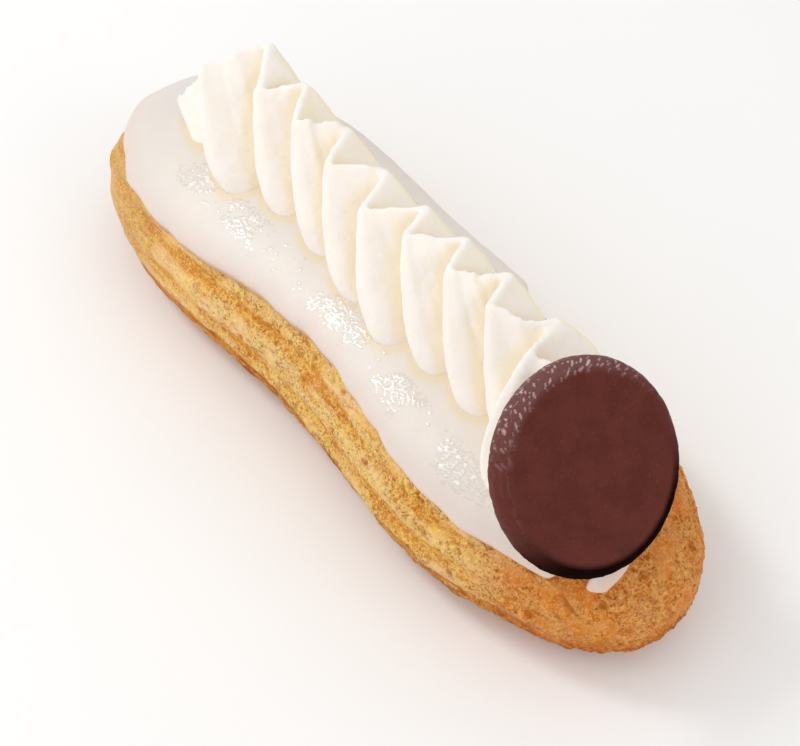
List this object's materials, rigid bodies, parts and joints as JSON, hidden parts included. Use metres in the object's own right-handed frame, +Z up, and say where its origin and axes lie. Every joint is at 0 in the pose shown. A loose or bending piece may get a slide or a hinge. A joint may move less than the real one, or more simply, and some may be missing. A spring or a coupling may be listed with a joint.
{
  "type": "decorated eclair",
  "caption": "Oblong choux eclair with ribbed golden sides, glossy white icing, a piped zigzag ruffle of cream along the top and a leaning chocolate disc at one end.",
  "frame": {"origin": "middle of the flat underside, where the pastry rests", "axes": "+X along the eclair towards the chocolate disc, +Z up, +Y to the left of +X"},
  "size_m": [0.1364, 0.0439, 0.0495],
  "materials": {
    "choux": "rough baked crust",
    "icing": "glossy",
    "cream": "soft, slightly moist",
    "chocolate": "satin"
  },
  "bodies": {
    "root": {"pastry": "choux", "icing": "icing", "cream": "cream", "chocolate_disc": "chocolate"}
  },
  "joints": []
}
